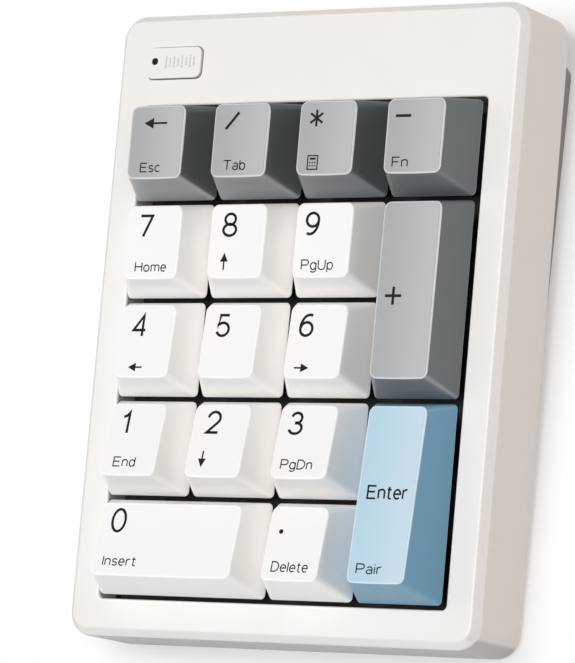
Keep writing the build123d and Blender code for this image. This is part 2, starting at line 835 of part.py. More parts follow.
# Charging socket: a metal shell with a tongue, soldered to the board's rear edge.
def make_socket():
    middle = board_top + socket_height / 2
    depth = socket_mouth - socket_front
    with BuildPart() as shell:
        with BuildSketch(rear_plane(socket_mouth)):
            with Locations((socket_x, middle)):
                RectangleRounded(socket_width, socket_height, socket_corner)
        extrude(amount=depth)
        with BuildSketch(rear_plane(socket_mouth)):
            with Locations((socket_x, middle)):
                bore_width = socket_width - 2 * socket_wall
                bore_height = socket_height - 2 * socket_wall
                RectangleRounded(bore_width, bore_height, socket_corner - socket_wall)
        extrude(amount=depth - socket_back, mode=Mode.SUBTRACT)
    save(shell, "usb_socket_shell")

    with BuildPart() as tongue:
        with BuildSketch(rear_plane(socket_mouth - socket_back)):
            with Locations((socket_x, middle)):
                Rectangle(*tongue_size)
        extrude(amount=depth - 2 * socket_back)
    save(tongue, "usb_socket_tongue")


# Mode switch: a small box on the board with a knob that slides across.
def make_mode_switch():
    with BuildPart() as body:
        width, height, depth = switch_body_size
        with BuildSketch(rear_plane(switch_body_rear)):
            with Locations((switch_x, switch_level)):
                Rectangle(width, height)
        extrude(amount=depth)
        width, height, depth = switch_track_size
        with BuildSketch(rear_plane(switch_track_rear)):
            with Locations((switch_x, switch_level)):
                Rectangle(width, height)
        extrude(amount=depth, mode=Mode.SUBTRACT)
        with BuildSketch(rear_plane(switch_body_rear)):
            with Locations((switch_x, switch_level)):
                Rectangle(*switch_slot_size)
        extrude(amount=1, mode=Mode.SUBTRACT)
    save(body, "mode_switch_body")

    with BuildPart() as knob:
        for rear, (width, height, depth) in (
            (knob_foot_rear, knob_foot_size),
            (knob_rear, knob_neck_size),
            (knob_rear, knob_head_size),
        ):
            with BuildSketch(rear_plane(rear)):
                with Locations((switch_x, switch_level)):
                    Rectangle(width, height)
            extrude(amount=depth)
        fillet(knob.faces().sort_by(back)[-1].edges(), knob_round)
    save(knob, "mode_switch_knob")


def make_screws(name, places, under_head, size):
    """Screws driven up from under_head, each with a cross recess in its head."""
    length, head_radius, head_height = size
    with BuildPart(deck) as screws:
        with BuildSketch(deck.offset(under_head)):
            with Locations(*places):
                Circle(screw_radius)
        extrude(amount=length)
        with BuildSketch(deck.offset(under_head - head_height)):
            with Locations(*places):
                Circle(head_radius)
        extrude(amount=head_height)
        with BuildSketch(deck.offset(under_head - head_height)):
            with Locations(*places):
                Rectangle(recess_length, recess_width)
                Rectangle(recess_width, recess_length)
        extrude(amount=recess_depth, mode=Mode.SUBTRACT)
    save(screws, name)


os.makedirs("parts", exist_ok=True)
make_top_case()
make_bottom_case()
make_rubber_feet()
make_switch_plate()
make_circuit_board()
make_board_components()
make_battery()
make_switch_lower_housings()
make_switch_upper_housings()
make_switch_contacts()
make_switch_springs()
make_stabilizer_housings()
for key in keys:
    make_slider(key)
    make_cap(key)
for key in long_keys:
    make_stabilizer_sliders(key)
    make_stabilizer_wire(key)
make_badge()
make_socket()
make_mode_switch()
make_screws("case_screws", case_screw_places, floor_top, case_screw)
make_screws("plate_screws", plate_screw_places, plate_top - plate_thickness, plate_screw)
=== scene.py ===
import json
import math

import bmesh
import bpy
from mathutils import Matrix, Vector
from mathutils.bvhtree import BVHTree

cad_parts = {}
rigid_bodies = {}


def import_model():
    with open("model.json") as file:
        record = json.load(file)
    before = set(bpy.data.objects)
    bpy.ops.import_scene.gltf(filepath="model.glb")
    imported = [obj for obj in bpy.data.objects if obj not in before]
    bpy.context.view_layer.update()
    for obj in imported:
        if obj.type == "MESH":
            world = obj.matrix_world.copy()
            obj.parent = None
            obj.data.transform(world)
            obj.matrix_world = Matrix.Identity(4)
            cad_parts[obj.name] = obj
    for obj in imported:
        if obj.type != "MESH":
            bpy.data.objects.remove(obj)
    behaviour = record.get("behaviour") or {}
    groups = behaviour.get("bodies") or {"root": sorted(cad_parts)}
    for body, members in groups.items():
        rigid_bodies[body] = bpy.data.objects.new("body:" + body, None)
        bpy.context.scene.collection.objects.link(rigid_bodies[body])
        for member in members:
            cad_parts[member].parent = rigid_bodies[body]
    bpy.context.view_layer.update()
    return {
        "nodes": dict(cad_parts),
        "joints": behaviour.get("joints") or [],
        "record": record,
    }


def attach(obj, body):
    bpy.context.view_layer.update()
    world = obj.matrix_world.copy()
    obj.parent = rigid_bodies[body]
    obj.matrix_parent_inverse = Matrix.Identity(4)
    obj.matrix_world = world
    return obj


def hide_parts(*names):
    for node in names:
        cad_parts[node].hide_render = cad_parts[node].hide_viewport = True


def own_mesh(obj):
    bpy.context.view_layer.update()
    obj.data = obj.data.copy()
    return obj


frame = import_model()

MM = 0.001
nodes = frame["nodes"]
joints = {joint["name"]: joint for joint in frame["joints"]}

# The deck's own directions: the keys are pressed straight into it.
DECK_UP = -Vector(joints["press_5"]["axis"]).normalized()
DECK_X = Vector((1, 0, 0))
DECK_BACK = DECK_UP.cross(DECK_X)


def on_deck(point):
    """A point's place along the deck's width, length and normal."""
    return Vector((point.dot(DECK_X), point.dot(DECK_BACK), point.dot(DECK_UP)))


def from_deck(x, y, z):
    return DECK_X * x + DECK_BACK * y + DECK_UP * z


def deck_box(node):
    """Lowest and highest corner of a node, measured along the deck's directions."""
    places = [on_deck(vertex.co) for vertex in nodes[node].data.vertices]
    low = Vector([min(place[i] for place in places) for i in range(3)])
    high = Vector([max(place[i] for place in places) for i in range(3)])
    return low, high


# ---------------------------------------------------------------- materials

class Shader:
    """A Principled material built node by node."""

    def __init__(self, name, **sockets):
        self.material = bpy.data.materials.new(name)
        self.material.use_nodes = True
        self.tree = self.material.node_tree
        self.surface = self.tree.nodes["Principled BSDF"]
        for socket, value in sockets.items():
            self.set(socket.replace("_", " "), value)

    def set(self, socket, value):
        if isinstance(value, tuple) and len(value) == 3:
            value = (*value, 1.0)
        names = {name.lower(): name for name in self.surface.inputs.keys()}
        self.surface.inputs[names[socket.lower()]].default_value = value

    def node(self, kind, inputs=None, **settings):
        made = self.tree.nodes.new("ShaderNode" + kind)
        for key, value in settings.items():
            setattr(made, key, value)
        for key, value in (inputs or {}).items():
            if hasattr(value, "is_linked"):
                self.tree.links.new(value, made.inputs[key])
            else:
                made.inputs[key].default_value = value
        return made

    def link(self, output, socket):
        self.tree.links.new(output, self.surface.inputs[socket])

    def place(self):
        return self.node("TexCoord").outputs["Object"]

    def across(self):
        """How far to the right of the object's middle, in metres."""
        return self.node("SeparateXYZ", {0: self.place()}).outputs["X"]

    def noise(self, size, detail=3.0, roughness=0.55):
        """Noise whose features are about size millimetres across."""
        inputs = {"Vector": self.place(), "Scale": 1 / (size * MM), "Detail": detail, "Roughness": roughness}
        return self.node("TexNoise", inputs).outputs["Fac"]

    def ramp(self, value, low, high, out_low=0.0, out_high=1.0):
        inputs = {"Value": value, "From Min": low, "From Max": high, "To Min": out_low, "To Max": out_high}
        return self.node("MapRange", inputs, interpolation_type="SMOOTHSTEP").outputs["Result"]

    def mix(self, factor, a, b):
        mixed = self.node("Mix", {"Factor": factor}, data_type="RGBA")
        for socket, value in ((mixed.inputs[6], a), (mixed.inputs[7], b)):
            if isinstance(value, tuple):
                socket.default_value = (*value, 1.0)
            else:
                self.tree.links.new(value, socket)
        return mixed.outputs[2]

    def both(self, a, b):
        return self.node("Math", {0: a, 1: b}, operation="MULTIPLY").outputs[0]

    def bump(self, height, strength, distance):
        inputs = {"Height": height, "Strength": strength, "Distance": distance * MM}
        self.link(self.node("Bump", inputs).outputs["Normal"], "Normal")

    def facing(self, direction):
        """How far the surface faces a direction of the object, from -1 to 1."""
        normal = self.node("TexCoord").outputs["Normal"]
        dot = self.node("VectorMath", {0: normal}, operation="DOT_PRODUCT")
        dot.inputs[1].default_value = direction
        return dot.outputs["Value"]


def moulded_plastic(name, base, shade, roughness, grain=0.12, relief=0.35):
    """Moulded plastic: faint cloudy colour, a fine sparked texture and uneven gloss."""
    shader = Shader(name, specular_ior_level=0.45, ior=1.5)
    cloud = shader.ramp(shader.noise(9.0), 0.35, 0.65)
    shader.link(shader.mix(cloud, base, shade), "Base Color")
    sheen = shader.noise(3.0, detail=4.0)
    shader.link(shader.ramp(sheen, 0.3, 0.7, roughness - 0.05, roughness + 0.05), "Roughness")
    shader.bump(shader.noise(grain, detail=2.0), relief, 0.012)
    return shader


def case_plastic(name, top, bevel, wall, front_wall_shade, edge, roughness):
    """The case's plastic with light and shade painted in: a tone for each way a face points, the walls
    painted darker than the top and the front wall darkest, the front chamfer painted pale, and painted
    highlight lines along its edges.
    """
    shader = Shader(name, specular_ior_level=0.45, ior=1.5)
    up = shader.facing(DECK_UP)
    forward = shader.ramp(shader.facing(-DECK_BACK), 0.45, 0.65)
    # Painted shade on the walls, deepest on the front-facing wall, and a painted highlight on the front
    # chamfer.
    walls = shader.mix(forward, wall, front_wall_shade)
    chamfer = shader.mix(forward, bevel, edge)
    lower = shader.mix(shader.ramp(up, 0.3, 0.55), walls, chamfer)
    tone = shader.mix(shader.ramp(up, 0.8, 0.95), lower, top)
    # Painted highlight lines along the fillets above and below the chamfer.
    upper_highlight_line = shader.both(shader.ramp(up, 0.72, 0.80), shader.ramp(up, 0.998, 0.975))
    lower_highlight_line = shader.both(shader.ramp(up, 0.12, 0.35, 0.0, 0.45), shader.ramp(up, 0.68, 0.5))
    with_highlight_lines = shader.mix(upper_highlight_line, shader.mix(lower_highlight_line, tone, edge), edge)
    cloud = shader.ramp(shader.noise(9.0), 0.35, 0.65, 0.0, 0.06)
    shader.link(shader.mix(cloud, with_highlight_lines, wall), "Base Color")
    sheen = shader.noise(3.0, detail=4.0)
    shader.link(shader.ramp(sheen, 0.3, 0.7, roughness - 0.05, roughness + 0.05), "Roughness")
    shader.bump(shader.noise(0.12, detail=2.0), 0.35, 0.012)
    return shader


# Where the caps' painted light and shade changes across the keypad, in metres to the right of the middle.
FRONT_SHADING_FROM, FRONT_SHADING_TO = -0.035, 0.035
SIDE_SHADING_FROM, SIDE_SHADING_TO = 0.019, 0.028


def cap_plastic(name, tops, fronts, sides, rim_highlight, roughness):
    """Cap plastic with light and shade painted in: a painted lit and shaded tone on each kind of face, and
    painted highlights along the edges.

    tops gives the tones of the dish's right half and left half, painted lighter and darker as side light
    would shade the dish, and fronts and sides each give the tone at the keypad's left and the tone at its
    right, a painted fall of light across the keypad.
    """
    shader = Shader(name, specular_ior_level=0.42, ior=1.52)
    up = shader.facing(DECK_UP)
    forward = shader.ramp(shader.facing(-DECK_BACK), 0.35, 0.75)
    # The fronts and sides are painted lighter and darker from the keypad's left to its right, a painted fall
    # of light.
    front = shader.mix(shader.ramp(shader.across(), FRONT_SHADING_FROM, FRONT_SHADING_TO), *fronts)
    side = shader.mix(shader.ramp(shader.across(), SIDE_SHADING_FROM, SIDE_SHADING_TO), *sides)
    flank = shader.mix(forward, side, front)
    # Painted highlights along the skirt's lower edge and along the edge of the top.
    skirt_highlight = shader.ramp(up, 0.22, 0.05)
    flank_with_skirt_highlight = shader.mix(skirt_highlight, flank, rim_highlight)
    rim_highlight_mask = shader.ramp(up, 0.46, 0.62)
    with_rim_highlight = shader.mix(rim_highlight_mask, flank_with_skirt_highlight, rim_highlight)
    # The dish's two halves are painted lighter and darker, as side light would shade it.
    top = shader.mix(shader.ramp(shader.facing(DECK_X), -0.08, 0.08), *tops)
    face = shader.ramp(up, 0.935, 0.972)
    shader.link(shader.mix(face, with_rim_highlight, top), "Base Color")
    polish = shader.noise(2.2, detail=4.0)
    shader.link(shader.ramp(polish, 0.3, 0.7, roughness - 0.05, roughness + 0.05), "Roughness")
    shader.bump(shader.noise(0.14, detail=2.0), 0.3, 0.010)
    return shader


def brushed_metal(name, base, roughness, along=(1, 1, 12)):
    """Drawn or rolled steel with fine streaks."""
    shader = Shader(name, metallic=1.0)
    mapping = shader.node("Mapping", {"Vector": shader.place(), "Scale": along})
    inputs = {"Vector": mapping.outputs["Vector"], "Scale": 700.0, "Detail": 4.0}
    streak = shader.node("TexNoise", inputs).outputs["Fac"]
    shader.link(shader.mix(streak, tuple(c * 0.85 for c in base), base), "Base Color")
    shader.link(shader.ramp(streak, 0.3, 0.7, roughness - 0.08, roughness + 0.08), "Roughness")
    shader.bump(streak, 0.15, 0.01)
    return shader


def soft_rubber(name):
    shader = Shader(name, specular_ior_level=0.3)
    dust = shader.ramp(shader.noise(1.5), 0.4, 0.75)
    shader.link(shader.mix(dust, (0.018, 0.018, 0.019), (0.035, 0.034, 0.033)), "Base Color")
    shader.link(shader.ramp(dust, 0, 1, 0.72, 0.88), "Roughness")
    shader.bump(shader.noise(0.3), 0.4, 0.02)
    return shader


def solder_mask(name):
    """Board laminate: green mask with faint copper runs under it."""
    shader = Shader(name, roughness=0.32, specular_ior_level=0.5)
    inputs = {"Vector": shader.place(), "Scale": 160.0, "Mortar Size": 0.02}
    runs = shader.node("TexBrick", inputs, offset=0.35)
    shader.link(shader.mix(runs.outputs["Fac"], (0.006, 0.045, 0.022), (0.012, 0.085, 0.045)), "Base Color")
    shader.bump(runs.outputs["Fac"], 0.3, 0.03)
    return shader


def crinkled_foil(name):
    shader = Shader(name, metallic=0.9)
    creases = shader.noise(5.0, detail=6.0)
    shader.link(shader.mix(creases, (0.45, 0.46, 0.48), (0.75, 0.76, 0.78)), "Base Color")
    shader.link(shader.ramp(creases, 0.3, 0.7, 0.25, 0.42), "Roughness")
    shader.bump(creases, 0.5, 0.15)
    return shader


def printed_ink(name, base):
    """Sublimated legend: slightly soft, as matte as the plastic round it."""
    shader = Shader(name, specular_ior_level=0.2)
    soak = shader.ramp(shader.noise(0.35), 0.35, 0.7)
    shader.link(shader.mix(soak, base, tuple(channel * 1.5 for channel in base)), "Base Color")
    shader.link(shader.ramp(soak, 0, 1, 0.62, 0.74), "Roughness")
    return shader


def light_lens(name):
    shader = Shader(name, roughness=0.25, specular_ior_level=0.15, ior=1.49)
    swirl = shader.noise(0.8)
    shader.link(shader.mix(swirl, (0.003, 0.003, 0.004), (0.012, 0.012, 0.014)), "Base Color")
    return shader


# The case's tones are painted light and shade on one plastic: the bevel and walls painted shaded, the front
# wall shaded darkest, and edge a painted highlight colour.
case_finish = case_plastic(
    "case_plastic",
    top=(0.89, 0.88, 0.86),
    bevel=(0.825, 0.80, 0.775),
    wall=(0.80, 0.75, 0.70),
    front_wall_shade=(0.50, 0.49, 0.475),
    edge=(0.97, 0.965, 0.95),
    roughness=0.42,
)
# The base is painted dark grey to stand in for the shade it sits in under the case's overhang, with a faint
# painted highlight along its edges.
shaded_base_finish = case_plastic(
    "base_plastic",
    top=(0.28, 0.265, 0.25),
    bevel=(0.28, 0.265, 0.25),
    wall=(0.26, 0.245, 0.23),
    front_wall_shade=(0.26, 0.245, 0.23),
    edge=(0.30, 0.285, 0.27),
    roughness=0.48,
)
# The caps' tones are painted light and shade on one plastic each: every kind of face, each half of the dish
# and each end of the keypad gets its own painted lit and shaded tone, and the colour for the edges of the top
# is a painted highlight.
white_cap = cap_plastic(
    "cap_white",
    tops=[(0.84, 0.838, 0.835), (0.84, 0.838, 0.835)],
    fronts=[(0.94, 0.935, 0.925), (0.98, 0.97, 0.955)],
    sides=[(0.92, 0.905, 0.885), (0.92, 0.905, 0.885)],
    rim_highlight=(0.95, 0.95, 0.95),
    roughness=0.46,
)
gray_cap = cap_plastic(
    "cap_gray",
    tops=[(0.442, 0.455, 0.47), (0.348, 0.362, 0.378)],
    fronts=[(0.39, 0.40, 0.41), (0.20, 0.22, 0.24)],
    sides=[(0.10, 0.115, 0.12), (0.148, 0.17, 0.178)],
    rim_highlight=(0.66, 0.69, 0.71),
    roughness=0.44,
)
blue_cap = cap_plastic(
    "cap_blue",
    tops=[(0.51, 0.65, 0.745), (0.41, 0.59, 0.70)],
    fronts=[(0.19, 0.38, 0.52), (0.19, 0.38, 0.52)],
    sides=[(0.15, 0.345, 0.505), (0.15, 0.345, 0.505)],
    rim_highlight=(0.66, 0.80, 0.88),
    roughness=0.44,
)
black_plastic = moulded_plastic("dark_plastic", (0.018, 0.018, 0.02), (0.028, 0.028, 0.03), 0.45)
slider_finish = moulded_plastic("slider_plastic", (0.30, 0.035, 0.03), (0.25, 0.03, 0.025), 0.38)
plate_paint = moulded_plastic("plate_steel", (0.012, 0.012, 0.013), (0.02, 0.02, 0.021), 0.5, grain=0.2)
steel = brushed_metal("bright_steel", (0.62, 0.61, 0.59), 0.3)
rubber = soft_rubber("foot_rubber")
board = solder_mask("board_laminate")
foil = crinkled_foil("foil")
ink = printed_ink("legend_ink", (0.006, 0.006, 0.007))
lens = light_lens("clear_plastic")
badge_mark = printed_ink("badge_mark", (0.54, 0.53, 0.515))

finish_of_slot = {
    "case_plastic": case_finish,
    "base_plastic": shaded_base_finish,
    "cap_white": white_cap,
    "cap_gray": gray_cap,
    "cap_blue": blue_cap,
    "dark_plastic": black_plastic,
    "slider_plastic": slider_finish,
    "plate_steel": plate_paint,
    "bright_steel": steel,
    "foot_rubber": rubber,
    "board_laminate": board,
    "foil": foil,
    "clear_plastic": lens,
}
slot_of_node = {part["node"]: part["material_slot"] for part in frame["record"]["subparts"]}
for name, node in nodes.items():
    node.data.materials.clear()
    node.data.materials.append(finish_of_slot[slot_of_node[name]].material)


# ---------------------------------------------------------------- legends

def new_piece(name, mesh, finish, body):
    """Adds a finished mesh to the scene, riding on a body."""
    mesh.materials.clear()
    mesh.materials.append(finish.material)
    piece = bpy.data.objects.new(name, mesh)
    bpy.context.scene.collection.objects.link(piece)
    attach(piece, body)
    return piece


def finish_mesh(shape, name):
    """Turns a bmesh into a mesh with its faces turned outward."""
    bmesh.ops.recalc_face_normals(shape, faces=shape.faces)
    mesh = bpy.data.meshes.new(name)
    shape.to_mesh(mesh)
    shape.free()
    return mesh


def line(*points):
    return [Vector(point) for point in points]


def arc(cx, cy, rx, ry, start, end, steps=28):
    """Points along an arc of an ellipse, angles in degrees."""
    angles = [math.radians(start + (end - start) * i / steps) for i in range(steps + 1)]
    return [Vector((cx + rx * math.cos(a), cy + ry * math.sin(a))) for a in angles]


def ring(cx, cy, rx, ry):
    return arc(cx, cy, rx, ry, 0, 360, 40)


# Digits as strokes, each in a box as tall as 1.
DIGITS = {
    "0": [ring(0.33, 0.5, 0.33, 0.5)],
    "1": [line((0.0, 0.79), (0.18, 0.85), (0.30, 1.0), (0.30, 0.0))],
    "2": [arc(0.33, 0.70, 0.32, 0.30, 175, -35) + line((0.03, 0.0), (0.64, 0.0))],
    "3": [arc(0.32, 0.752, 0.27, 0.248, 165, -90) + arc(0.32, 0.262, 0.33, 0.262, 90, -165)],
    "4": [line((0.66, 0.29), (0.0, 0.29), (0.50, 1.0), (0.50, 0.0))],
    "5": [line((0.60, 1.0), (0.13, 1.0), (0.06, 0.50)) + arc(0.32, 0.315, 0.33, 0.315, 142, -158)],
    "6": [ring(0.33, 0.32, 0.32, 0.32), arc(0.44, 0.36, 0.43, 0.64, 68, 178)],
    "7": [line((0.0, 1.0), (0.66, 1.0), (0.20, 0.0))],
    "8": [ring(0.33, 0.75, 0.27, 0.25), ring(0.33, 0.265, 0.33, 0.265)],
    "9": [ring(0.33, 0.68, 0.32, 0.32), arc(0.22, 0.64, 0.43, 0.64, -112, -2)],
}
# Letters the same way: capitals are 1 tall, small letters 0.72, and a stem stands at 0.
LETTERS = {
    "D": [line((0, 1), (0, 0), (0.25, 0)) + arc(0.25, 0.5, 0.38, 0.5, -90, 90) + line((0, 1))],
    "E": [line((0.57, 1), (0, 1), (0, 0), (0.59, 0)), line((0, 0.53), (0.52, 0.53))],
    "F": [line((0.54, 1), (0, 1), (0, 0)), line((0, 0.51), (0.47, 0.51))],
    "H": [line((0, 0), (0, 1)), line((0.62, 0), (0.62, 1)), line((0, 0.53), (0.62, 0.53))],
    "I": [line((0, 0), (0, 1))],
    "P": [line((0, 0), (0, 1), (0.34, 1)) + arc(0.34, 0.73, 0.25, 0.27, 90, -90) + line((0, 0.46))],
    "T": [line((0, 1), (0.66, 1)), line((0.33, 1), (0.33, 0))],
    "U": [line((0, 1)) + arc(0.3, 0.3, 0.3, 0.31, 180, 360) + line((0.6, 1))],
    "a": [arc(0.22, 0.52, 0.2, 0.2, 155, 0) + line((0.42, 0)), ring(0.21, 0.2, 0.21, 0.2)],
    "b": [line((0, 0), (0, 1)), ring(0.235, 0.36, 0.235, 0.36)],
    "c": [arc(0.235, 0.36, 0.235, 0.36, 48, 312)],
    "d": [line((0.47, 0), (0.47, 1)), ring(0.235, 0.36, 0.235, 0.36)],
    "e": [line((0.02, 0.37)) + arc(0.235, 0.36, 0.235, 0.36, 2, 315)],
    "g": [ring(0.235, 0.36, 0.235, 0.36), line((0.47, 0.72)) + arc(0.235, -0.05, 0.235, 0.22, 0, -150)],
    "i": [line((0, 0), (0, 0.72)), line((0, 0.90), (0, 1.02))],
    "l": [line((0, 0), (0, 1))],
    "m": [
        line((0, 0), (0, 0.72)),
        arc(0.19, 0.5, 0.19, 0.22, 180, 0) + line((0.38, 0)),
        arc(0.57, 0.5, 0.19, 0.22, 180, 0) + line((0.76, 0)),
    ],
    "n": [line((0, 0), (0, 0.72)), arc(0.22, 0.49, 0.22, 0.23, 180, 0) + line((0.44, 0))],
    "o": [ring(0.25, 0.36, 0.25, 0.36)],
    "p": [line((0, -0.28), (0, 0.72)), ring(0.235, 0.36, 0.235, 0.36)],
    "r": [line((0, 0), (0, 0.72)), arc(0.24, 0.44, 0.24, 0.28, 180, 75)],
    "s": [arc(0.205, 0.54, 0.185, 0.18, 25, 270) + arc(0.205, 0.18, 0.195, 0.18, 90, -155)],
    "t": [line((0.12, 0.95)) + arc(0.25, 0.13, 0.13, 0.13, 180, 300), line((0, 0.72), (0.29, 0.72))],
}
LETTER_GAP = 0.2
STROKE = 0.54
FINE_STROKE = 0.24
ARROW_STROKE = 0.32
INK_PROUD = 0.018
INK_SUNK = 0.05
CURVE_STEP = 1.0
SAME_POINT = 1e-5


def stroke_outline(points, width):
    """Left and right edges of a stroke of even width along a row of points."""
    closed = (points[0] - points[-1]).length < 1e-6
    row = points[:-1] if closed else points
    left, right = [], []
    for i, point in enumerate(row):
        before = row[i - 1] if closed or i else point
        after = row[(i + 1) % len(row)] if closed or i + 1 < len(row) else point
        arrive = (point - before).normalized() if point != before else (after - point).normalized()
        leave = (after - point).normalized() if after != point else arrive
        bisector = (arrive + leave).normalized()
        across = Vector((-bisector.y, bisector.x))
        spread = max(across.dot(Vector((-arrive.y, arrive.x))), 0.35)
        left.append(point + across * width / 2 / spread)
        right.append(point - across * width / 2 / spread)
    return left, right, closed


def add_stroke(shape, points, width):
    """Adds a flat stroke, as a thin closed slab, to a bmesh in the cap's own millimetres."""
    left, right, closed = stroke_outline(points, width)
    rows = []
    for edge in (left, right):
        rows.append([shape.verts.new((point.x, point.y, 1)) for point in edge])
        rows.append([shape.verts.new((point.x, point.y, 0)) for point in edge])
    left_top, left_low, right_top, right_low = rows
    count = len(left)
    for i in range(count if closed else count - 1):
        j = (i + 1) % count
        shape.faces.new((left_top[i], right_top[i], right_top[j], left_top[j]))
        shape.faces.new((left_low[j], right_low[j], right_low[i], left_low[i]))
        shape.faces.new((left_top[j], left_low[j], left_low[i], left_top[i]))
        shape.faces.new((right_top[i], right_low[i], right_low[j], right_top[j]))
    if not closed:
        shape.faces.new((left_top[0], left_low[0], right_low[0], right_top[0]))
        shape.faces.new((right_top[-1], right_low[-1], left_low[-1], left_top[-1]))


def add_polygon(shape, points):
    """Adds a flat polygon as a thin closed slab."""
    top = [shape.verts.new((point.x, point.y, 1)) for point in points]
    low = [shape.verts.new((point.x, point.y, 0)) for point in points]
    shape.faces.new(top)
    shape.faces.new(list(reversed(low)))
    for i in range(len(points)):
        j = (i + 1) % len(points)
        shape.faces.new((top[i], low[i], low[j], top[j]))


def add_glyph(shape, strokes, place, scale, width):
    """Adds a glyph's strokes, scaled along each direction and moved."""
    for stroke in strokes:
        points = [Vector((place.x + point.x * scale.x, place.y + point.y * scale.y)) for point in stroke]
        add_stroke(shape, points, width)


def glyph_width(strokes):
    return max(point.x for stroke in strokes for point in stroke)


def add_digit(shape, digit, x, y, height=4.0):
    """A digit centred on a place of the cap."""
    strokes = DIGITS[digit]
    corner = Vector((x - glyph_width(strokes) * height / 2, y - height / 2))
    add_glyph(shape, strokes, corner, Vector((height, height)), STROKE)


def add_arrow(shape, x, y, turn, length, head, width):
    """A thin arrow with a solid head, centred on a place and pointing along turn degrees."""
    spin = Matrix.Rotation(math.radians(turn), 2)
    move = Vector((x, y))
    tail, neck, tip = -length / 2, length / 2 - head, length / 2
    add_stroke(shape, [move + spin @ Vector((tail, 0)), move + spin @ Vector((neck + 0.05, 0))], width)
    corners = [(tip, 0), (neck, head / 2), (neck, -head / 2)]
    add_polygon(shape, [move + spin @ Vector(corner) for corner in corners])


def add_word(shape, word, left, baseline, width, height, stroke=FINE_STROKE):
    """A word of plain strokes from a left edge, on a baseline, as wide and as tall as given."""
    natural = sum(glyph_width(LETTERS[letter]) + LETTER_GAP for letter in word) - LETTER_GAP
    scale = Vector(((width - stroke) / natural, height - stroke))
    pen = Vector((left + stroke / 2, baseline + stroke / 2))
    for letter in word:
        add_glyph(shape, LETTERS[letter], pen, scale, stroke)
        pen.x += (glyph_width(LETTERS[letter]) + LETTER_GAP) * scale.x


def add_box_outline(shape, x, y, width, height, stroke):
    """An upright rectangle drawn as an outline."""
    left, right, low, high = x - width / 2, x + width / 2, y - height / 2, y + height / 2
    corners = line((left, low), (right, low), (right, high), (left, high), (left, low))
    add_stroke(shape, corners, stroke)


def add_calculator(shape, x, y):
    """A small calculator sign: a case, its window and two rows of keys."""
    add_box_outline(shape, x, y, 2.1, 2.6, FINE_STROKE)
    add_stroke(shape, line((x - 0.62, y + 0.72), (x + 0.62, y + 0.72)), 0.4)
    for row in (0.0, -0.62):
        for column in (-0.52, 0.0, 0.52):
            dot = line((x + column - 0.14, y + row), (x + column + 0.14, y + row))
            add_stroke(shape, dot, 0.28)


def draw_legend(shape, key):
    """Draws a key's legends, in millimetres from the key's centre."""
    if key == "escape":
        add_arrow(shape, -0.5, 4.4, 180, 5.2, 2.1, 0.38)
        add_word(shape, "Esc", -3.25, -5.15, 4.5, 1.9)
    elif key == "divide":
        add_stroke(shape, line((-3.5, 2.85), (-0.8, 6.05)), STROKE)
        add_word(shape, "Tab", -3.45, -5.1, 5.0, 2.0)
    elif key == "multiply":
        for turn in (90, 35, -35):
            arm = Vector((math.cos(math.radians(turn)), math.sin(math.radians(turn)))) * 1.6
            centre = Vector((-2.5, 4.5))
            add_stroke(shape, [centre - arm, centre + arm], 0.45)
        add_calculator(shape, -2.65, -3.95)
    elif key == "minus":
        add_stroke(shape, line((-4.3, 4.5), (-1.1, 4.5)), STROKE)
        add_word(shape, "Fn", -4.4, -5.2, 3.4, 2.0)
    elif key == "plus":
        add_stroke(shape, line((-4.3, -0.45), (-0.9, -0.45)), STROKE)
        add_stroke(shape, line((-2.6, 1.25), (-2.6, -2.15)), STROKE)
    elif key == "enter":
        add_word(shape, "Enter", -4.2, -0.25, 8.7, 2.7, stroke=0.36)
        add_word(shape, "Pair", -4.3, -14.2, 5.4, 2.0)
    elif key == "point":
        add_polygon(shape, arc(-3.4, 3.0, 0.45, 0.45, 0, 345, 23))
        add_word(shape, "Delete", -4.1, -4.7, 8.0, 2.05)
    elif key == "0":
        add_digit(shape, "0", -11.3, 4.35, 4.3)
        add_word(shape, "Insert", -13.15, -4.5, 7.5, 1.95)
    elif key == "5":
        add_digit(shape, "5", -1.9, 3.75)
    elif key == "7":
        add_digit(shape, "7", -1.85, 3.8)
        add_word(shape, "Home", -3.55, -5.1, 7.2, 1.95)
    elif key == "8":
        add_digit(shape, "8", -1.85, 3.85, 4.2)
        add_arrow(shape, -2.5, -3.2, 90, 3.3, 1.7, ARROW_STROKE)
    elif key == "9":
        add_digit(shape, "9", -2.6, 3.85)
        add_word(shape, "PgUp", -4.3, -5.0, 7.0, 2.05)
    elif key == "4":
        add_digit(shape, "4", -1.7, 3.7)
        add_arrow(shape, -1.5, -4.4, 180, 3.1, 1.7, ARROW_STROKE)
    elif key == "6":
        add_digit(shape, "6", -2.45, 3.78)
        add_arrow(shape, -2.35, -4.4, 0, 3.1, 1.7, ARROW_STROKE)
    elif key == "1":
        add_digit(shape, "1", -2.5, 4.0)
        add_word(shape, "End", -3.55, -4.65, 5.0, 2.0)
    elif key == "2":
        add_digit(shape, "2", -1.7, 4.3)
        add_arrow(shape, -2.7, -2.9, -90, 3.2, 1.7, ARROW_STROKE)
    elif key == "3":
        add_digit(shape, "3", -2.5, 4.28)
        add_word(shape, "PgDn", -4.2, -4.6, 6.9, 1.95)


def cut_for_curve(shape, step):
    """Cuts a legend across at even steps, so that it can follow the cap's dish."""
    low = min(vertex.co.x for vertex in shape.verts)
    high = max(vertex.co.x for vertex in shape.verts)
    for i in range(1, int((high - low) / step) + 1):
        geometry = list(shape.verts) + list(shape.edges) + list(shape.faces)
        bmesh.ops.bisect_plane(shape, geom=geometry, plane_co=(low + i * step, 0, 0), plane_no=(1, 0, 0))


